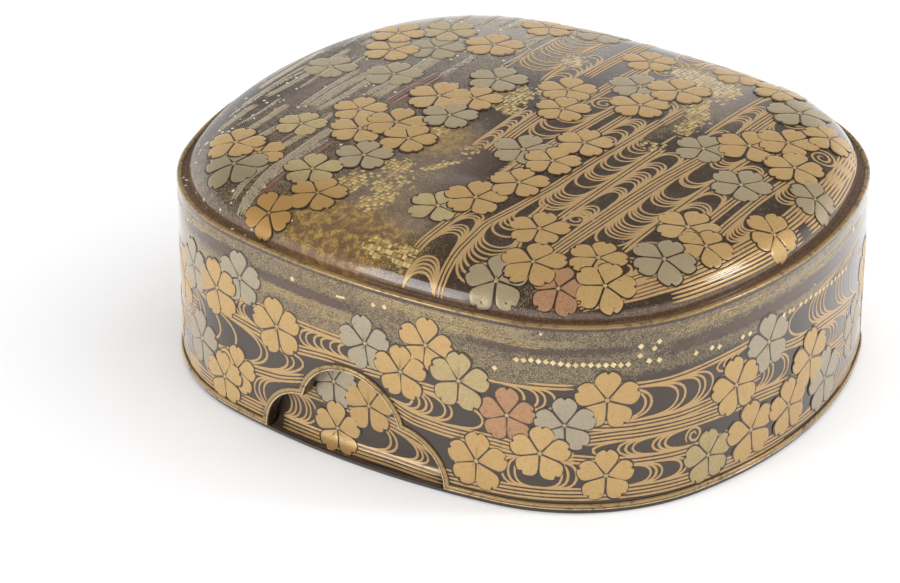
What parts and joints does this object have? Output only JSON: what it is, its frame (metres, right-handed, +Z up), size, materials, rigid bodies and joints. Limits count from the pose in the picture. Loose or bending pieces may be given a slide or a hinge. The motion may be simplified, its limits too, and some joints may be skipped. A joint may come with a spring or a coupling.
{
  "type": "lacquered box",
  "caption": "Oval lacquered box with a deep lift-off lid, a shallow domed top and a cusped finger notch in each long side.",
  "frame": {"origin": "middle of the underside, on the surface that the box stands on", "axes": "+Z up, +X along the longer side, the front finger notch on the -Y side"},
  "size_m": [0.125, 0.1124, 0.0465],
  "materials": {
    "patterned_lacquer": "gloss",
    "gold_edge": "satin",
    "black_lacquer": "gloss"
  },
  "bodies": {
    "body": {"body_base": "black_lacquer", "body_wall": "patterned_lacquer", "notch_fillet_front": "patterned_lacquer", "notch_fillet_back": "patterned_lacquer"},
    "lid": {"lid_wall": "patterned_lacquer", "lid_top_board": "patterned_lacquer", "lid_top_bead": "gold_edge", "lid_mouth_bead": "gold_edge"}
  },
  "joints": [
    {"name": "lid_lift", "type": "slide", "parent": "body", "child": "lid", "axis": [0, 0, 1], "range_m": [0, 0.07]}
  ]
}
